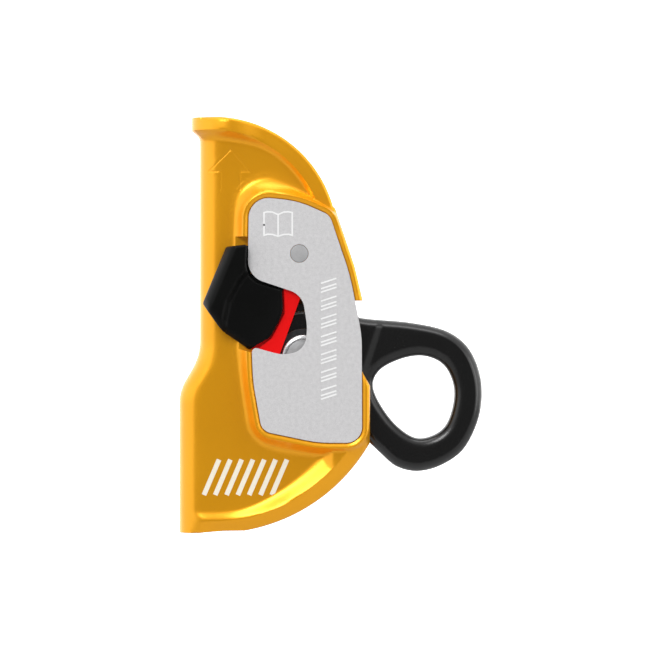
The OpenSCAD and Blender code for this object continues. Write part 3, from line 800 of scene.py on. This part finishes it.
def build_catch(side):
    """One catch: thumb pad, slider and pin, with its spring and the post that the spring presses on."""
    s = -1 if side == "front" else 1
    body = side + "_catch"
    loop = clean(spaced(THUMB_LINE, 0.5))
    off = [grow(THUMB_LINE, -d) for d in (0.15, 0.4, 0.75)]
    q = far_from(grid(-9, 20, 1, 37, 0.42), [o + [o[0]] for o in off] + [INNER_RIDGE], 0.2)
    pts = list(map(tuple, q)) + sum([spaced(o, 0.45) for o in off], []) + spaced(INNER_RIDGE, 0.4, False)
    if s < 0:
        pad = relief(side + "_pad", [loop], pts, lambda x, z: -thumb_top(x, z), lambda x, z: 0 * x - 9.25)
    else:
        pad = relief(side + "_pad", [loop], pts, lambda x, z: 0 * x + 9.25, thumb_top)
    slider = [uv(15.09, 4.75), uv(6.7, 4.75), (-0.2, 9), (-5.4, 16.4), uv(-8.2, 27.2), uv(1.9, 27.2),
              uv(1.9, 32.1), uv(15.09, 32.1)]
    cut(pad, prism("t", grow(slider, 0.05), *sorted((s * 8, s * 10.16))))
    cut(pad, lathe("t", [(0, s * 8), (1.2, s * 8), (1.2, s * 11.5), (0, s * 11.5)], PIN, 48))
    dress(shade(pad, 40), "black", body, "thumb_pad", side + "_thumb_pad")
    ledge = prism(side + "_pad_ledge", LEDGE, *sorted((s * 10.16, s * 11.0)))
    dress(ledge, "black", body, "thumb_pad")
    sl = prism(side + "_slider", slider, *sorted((s * 9.08, s * 11.0)))
    # the slider is thinner under the pad, and its window holds the spring
    thin = [(-12, 0), (-12, 36), uv(1.9, 34), uv(1.9, 27.6), (17.6, 22.6), (17.8, 17.6), (17.9, 13.8),
            (13.7, 5.85), (9.9, 2.9), (9.2, 0)]
    cut(sl, prism("t", thin, *sorted((s * 10.1, s * 13))))
    win = [uv(2.1, 28.2), uv(2.1, 31), uv(12.8, 31), uv(12.8, 28.2)]
    cut(sl, prism("t", win, *sorted((s * 8, s * 13))))
    cut(sl, lathe("t", [(0, s * 8), (1.2, s * 8), (1.2, s * 12), (0, s * 12)], PIN, 48))
    dress(shade(sl), "red", body, "red_slider", side + "_catch_slider")
    pin = lathe(side + "_pin", [(0, s * 9.1), (1.08, s * 9.1), (1.18, s * 9.2), (1.18, s * 11.35),
                                (1.05, s * 11.45), (0, s * 11.45)], PIN, 48)
    dress(shade(pin), "steel", body, "pins", side + "_pad_pin")
    path = []
    turns, n = 6, 28
    for i in range(turns * n + 1):
        a = 2 * math.pi * i / n
        u = SPRING_U + 1.35 + 7.9 * i / (turns * n)
        p = uv(u, SPRING_V + math.cos(a))
        path.append((p[0], s * (SPRING_Y - math.sin(a)), p[1]))
    sp = shade(tube(side + "_spring", path, 0.19, (TC, 0, -TS), 8), 60)
    dress(sp, "wire", "body", "spring_wire", side + "_catch_spring")
    p = uv(4.6, SPRING_V)
    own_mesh(sp)
    post = lathe(side + "_post", [(0, s * 10.98), (0.95, s * 10.98), (1.08, s * 10.85), (1.08, s * 7.7),
                                  (0, s * 7.7)], uv(SPRING_U, SPRING_V), 48)
    dress(shade(post), "steel", "body", "pins", side + "_spring_post")


for side in ("front", "rear"):
    build_catch(side)


# ---------------------------------------------------------------- cam unit
def ring(name, ro, ri, y0, y1, c=0.15):
    """A bush or washer about the axle, its outer edges cut back by c."""
    s = 1 if y1 > y0 else -1
    return lathe(name, [(ri, y0), (ro - c, y0), (ro, y0 + s * c), (ro, y1 - s * c), (ro - c, y1),
                        (ri, y1)], AXLE)


ax = lathe("axle_pin", [(0, -10.25), (3.7, -10.25), (4, -9.95), (4, 9.95), (3.7, 10.25), (0, 10.25)], AXLE)
dress(shade(ax), "steel", "cam_unit", "axle", "cam_axle")
for side, s in (("front", -1), ("rear", 1)):
    hd = lathe(side + "_head", [(0, s * 10.3), (4.02, s * 10.3), (4.02, s * 9.02), (6.9, s * 9.02),
                                (6.9, s * 10.35), (6.72, s * 10.5), (6.45, s * 10.66), (5.75, s * 10.88),
                                (5.55, s * 10.88), (5.4, s * 10.6), (0, s * 10.6)], AXLE)
    dress(shade(hd), "steel", "cam_unit", "axle", side + "_axle_head")
    fc = lathe(side + "_head_face", [(0, s * 10.5), (5.45, s * 10.5), (5.45, s * 10.66), (5.35, s * 10.7),
                                     (0, s * 10.7)], AXLE)
    dress(shade(fc), "head", "cam_unit", "axle")
    rn = ring(side + "_runner", 8.95, 4.02, s * 7.05, s * 9.0)
    dress(shade(rn), "dark", "cam_unit", "runner", side + "_axle_runner")
    ws = ring(side + "_washer", 8.9, 4.05, s * 6.58, s * 6.95, 0.05)
    dress(shade(ws), "washer", "cam_unit", "washer", side + "_thrust_washer")


# ---------------------------------------------------------------- cam
def face_pt(b, deep=0.0):
    """A point of the cam's gripping face, a spiral about the axle, at b degrees and deep mm inside."""
    r = 27.95 * math.exp(-math.radians(b) * math.tan(math.radians(25))) - deep
    return (AXLE[0] - r * math.cos(math.radians(b)), r * math.sin(math.radians(b)))


def cam_outline():
    """The ribbed gripping face, then the arm, the eye and the lobe under the axle."""
    pts = []
    b = -12.5
    while b <= 60.01:
        ph = ((b + 400) % 5) / 2.5 - 1
        pts.append(face_pt(b, 0.55 * abs(ph)))
        b += 0.625
    pts += corner((15.4, 14.9), (19.8, 18.9), (27, 18.7), 3)
    pts += corner((19.8, 18.9), (27, 18.7), (42, 12.45), 14)
    pts += through(EYE_EDGE, 5, False)
    pts += corner((45, -27.6), (36, -18), (24, -14.5), 10)
    pts += corner((24, -14.5), (8, -13.5), (-4, -9.5), 20)
    return clean(pts, 0.03)


CAM = cam_outline()
HOLE = clean(through(EYE_OPENING, 8))


def cam_half(x, z):
    """Half the cam's thickness."""
    # arm and lobe are thicker than the eye
    side = (x - 48.3) * (-0.951) - (z - 10.5) * (-0.309)
    y = 5.4 + 1.1 * sstep((side + 1.6) / 3.2)
    # lobe narrows towards the round channel; the hub stands above the rest behind the axle window
    y = np.minimum(y, 6.6 - 0.2075 * np.maximum(2.6 - x, 0))
    y = y - 1.1 * sstep((np.hypot(x - AXLE[0], z) - 13.5) / 1.1) * sstep((35 - x) / 5) * (z > 4)
    # the outer edge and the eye are rounded over
    eo = dist(x, z, CAM, True)
    eh = dist(x, z, HOLE, True)
    ro = np.where(x > 30, 3.0, 1.0)
    q = np.clip(1 - eo / ro, 0, 1)
    y = y - ro * 0.85 * (1 - np.sqrt(1 - q * q)) - np.where(x > 40, 1.1, 0) * np.clip(1 - eo / 2.0, 0, 1)
    q = np.clip(1 - eh / 3.4, 0, 1)
    return y - 2.7 * (1 - np.sqrt(1 - q * q))


def build_cam():
    """The cam with its arm and eye, bored for the axle and grooved for its closing spring."""
    loop = clean(spaced(CAM, 0.7), 0.03)
    hole = clean(spaced(HOLE, 0.6), 0.03)
    offs = [grow(CAM, -d) for d in (0.12, 0.4, 0.9, 1.5, 2.0, 2.4, 3.1)]
    holes = [grow(HOLE, d) for d in (0.1, 0.35, 0.8, 1.4, 2.0, 2.7, 3.4)]
    big = [[p for p in o if p[0] > 26] for o in offs] + [o + [o[0]] for o in holes]
    q = grid(24, 82, -40, 17, 0.6)
    q = far_from(q, [b for b in big if len(b) > 1], 0.3)
    q2 = grid(-8, 24, -20, 18, 1.6)
    small = [p for p in offs[1] if p[0] < 26] + [p for p in offs[2] if p[0] < 26]
    pts = list(map(tuple, q)) + list(map(tuple, q2))
    pts += sum([spaced(b, 0.6, False) for b in big if len(b) > 1], []) + small
    for r in (13.3, 13.6, 13.9, 14.2, 14.5, 14.8):
        pts += arc(AXLE[0], 0, r, 20, 160, 1.6)
    ob = relief("cam_body", [loop, hole], thinned(pts, 0.15), lambda x, z: -cam_half(x, z), cam_half)
    # the hub's bore, the closing spring's groove and the slot for its end
    cut(ob, lathe("t", [(0, -9), (5.2, -9), (5.2, 9), (0, 9)], AXLE))
    cut(ob, lathe("t", [(6.2, 2.0), (9.6, 2.0), (9.6, 9), (6.2, 9)], AXLE))
    x0, x1 = AXLE[0] + 5.9, AXLE[0] + 11.6
    cut(ob, prism("t", [(x0, 0.8), (x1, 0.8), (x1, -0.8), (x0, -0.8)], 2.0, 9))
    dress(shade(ob, 38), "cam", "cam", "cam_body", "cam")


build_cam()
fb = ring("front_bush", 5.18, 4.05, -6.5, -0.3, 0.12)
rb = ring("rear_bush", 5.18, 4.05, 0.3, 6.5, 0.12)
dress(shade(fb), "bush", "cam", "bush", "front_cam_bush")
dress(shade(rb), "bush", "cam", "bush", "rear_cam_bush")
# the closing spring: 2.75 turns of 60 steps, with a straight end in the cam's slot
coil = [(AXLE[0] + 11, 2.75, 0), (AXLE[0] + 10, 2.72, 0.02), (AXLE[0] + 9, 2.7, 0.1)]
for i in range(int(2.75 * 60) + 1):
    a = -2 * math.pi * i / 60
    coil.append((AXLE[0] + 7.9 * math.cos(a), 2.7 + 1.15 * i / 60, 7.9 * math.sin(a)))
dress(shade(tube("closing_spring", coil, 0.5, (0, 1, 0), 14), 60), "wire", "cam", "spring_wire", "cam_spring")

# ---------------------------------------------------------------- generic mark on the web
for side, s in (("front", -1), ("rear", 1)):
    slash = []
    for i in range(7):
        x = -7.6 + i * 3.6
        slash.append([(x, -43.5), (x + 4.4, -33.2)])
    mk = stroke(side + "_web_mark", slash, 1.5, s * (WEB - 0.05), s * (WEB + 0.03))
    dress(mk, "print2", "body", "gold_body")

# ---------------------------------------------------------------- stage, light, camera
def stage_mat(name, low, high, glow):
    """A dull grey with slow noise and a glow."""
    m, nt, b = nodes_of(name)
    n = nt.nodes.new("ShaderNodeTexNoise")
    n.inputs["Scale"].default_value = 3.0
    r = nt.nodes.new("ShaderNodeValToRGB")
    r.color_ramp.elements[0].color = (low, low, low, 1)
    r.color_ramp.elements[1].color = (high, high, high, 1)
    nt.links.new(n.outputs["Fac"], r.inputs["Fac"])
    nt.links.new(r.outputs["Color"], b.inputs["Base Color"])
    b.inputs["Roughness"].default_value = 0.9
    b.inputs["Specular IOR Level"].default_value = 0.0
    b.inputs["Emission Color"].default_value = (1, 1, 1, 1)
    b.inputs["Emission Strength"].default_value = glow
    return m


def stage_sheet(name, prof, mat):
    """A wide sheet along a profile of y and z, in metres."""
    vs, fs = [], []
    for y, z in prof:
        vs += [(-2.6, y, z), (2.6, y, z)]
    for i in range(len(prof) - 1):
        fs.append((2 * i, 2 * i + 1, 2 * i + 3, 2 * i + 2))
    me = bpy.data.meshes.new(name)
    me.from_pydata(vs, [], fs)
    me.update()
    me.shade_smooth()
    me.materials.append(mat)
    ob = bpy.data.objects.new(name, me)
    scene.collection.objects.link(ob)


FLOOR_Z = -0.42
stage_sheet("studio_floor", [(-1.7, FLOOR_Z), (1.7, FLOOR_Z)],
            stage_mat("studio_floor", 0.46, 0.50, 0.0))
WALL_Y, BEND_R = 1.7, 0.2
bends = [math.radians(a) for a in range(0, 91, 10)]
wall = [(WALL_Y + BEND_R * math.sin(t), FLOOR_Z + BEND_R - BEND_R * math.cos(t)) for t in bends]
stage_sheet("studio_wall", wall + [(1.9, 2.2)], stage_mat("studio_white", 0.93, 0.96, 0.95))

world = bpy.data.worlds.new("studio")
scene.world = world
world.use_nodes = True
wn, wl = world.node_tree.nodes, world.node_tree.links
bg = wn["Background"]
tc = wn.new("ShaderNodeTexCoord")
sep = wn.new("ShaderNodeSeparateXYZ")
wl.new(tc.outputs["Generated"], sep.inputs[0])
ramp = wn.new("ShaderNodeValToRGB")
stops = [(0.0, 0.12), (0.36, 0.2), (0.48, 0.9), (0.6, 1.0), (0.8, 0.72), (1.0, 0.72)]
ramp.color_ramp.elements[0].position, ramp.color_ramp.elements[1].position = stops[0][0], stops[-1][0]
for p, v in stops[1:-1]:
    ramp.color_ramp.elements.new(p)
for el, (p, v) in zip(ramp.color_ramp.elements, stops):
    el.color = (v, v, v, 1)
mr = wn.new("ShaderNodeMapRange")
mr.inputs["From Min"].default_value = -1
mr.inputs["From Max"].default_value = 1
wl.new(sep.outputs["Z"], mr.inputs["Value"])
wl.new(mr.outputs["Result"], ramp.inputs["Fac"])
# darker in front, so flat faces towards the camera keep their own colour
fr = wn.new("ShaderNodeMapRange")
fr.interpolation_type = "SMOOTHSTEP"
fr.inputs["From Min"].default_value = -0.88
fr.inputs["From Max"].default_value = -0.55
fr.inputs["To Min"].default_value = 0.2
fr.inputs["To Max"].default_value = 1.25
wl.new(sep.outputs["Y"], fr.inputs["Value"])
mul = wn.new("ShaderNodeVectorMath")
mul.operation = "SCALE"
wl.new(ramp.outputs["Color"], mul.inputs[0])
wl.new(fr.outputs["Result"], mul.inputs["Scale"])
wl.new(mul.outputs["Vector"], bg.inputs["Color"])
bg.inputs["Strength"].default_value = 1.15


def area(name, at, look, size, power):
    """A white rectangular lamp turned to a point, in metres and watts."""
    d = bpy.data.lights.new(name, "AREA")
    d.shape = "RECTANGLE"
    d.size, d.size_y = size
    d.energy = power
    o = bpy.data.objects.new(name, d)
    scene.collection.objects.link(o)
    o.location = at
    o.rotation_mode = "QUATERNION"
    o.rotation_quaternion = (Vector(look) - Vector(at)).to_track_quat("-Z", "Y")


mid_pt = (0.03, 0, 0.01)
area("key_left_top", (-0.6, -1.25, 1.0), mid_pt, (0.6, 0.5), 11.4)
area("fill_right", (1.1, -1.0, 0.45), mid_pt, (0.5, 0.8), 1.5)
area("top_strip", (0.05, -0.15, 1.0), mid_pt, (0.9, 0.4), 3.0)
area("right_strip", (1.1, -0.12, 0.1), mid_pt, (0.3, 0.8), 1.8)

cam_d = bpy.data.cameras.new("camera")
cam_o = bpy.data.objects.new("camera", cam_d)
scene.collection.objects.link(cam_o)
scene.camera = cam_o
# a long lens square to the front face; distance in metres, sensor in mm
DISTANCE, SENSOR = 1.5, 36
cam_d.sensor_width = SENSOR
cam_o.location = (VIEW_X * MM, -DISTANCE, VIEW_Z * MM)
cam_o.rotation_euler = (math.pi / 2, 0, 0)
cam_d.lens = SENSOR * DISTANCE / (VIEW_W * MM)
cam_d.clip_start, cam_d.clip_end = 0.05, 20
scene.view_settings.view_transform = "Standard"
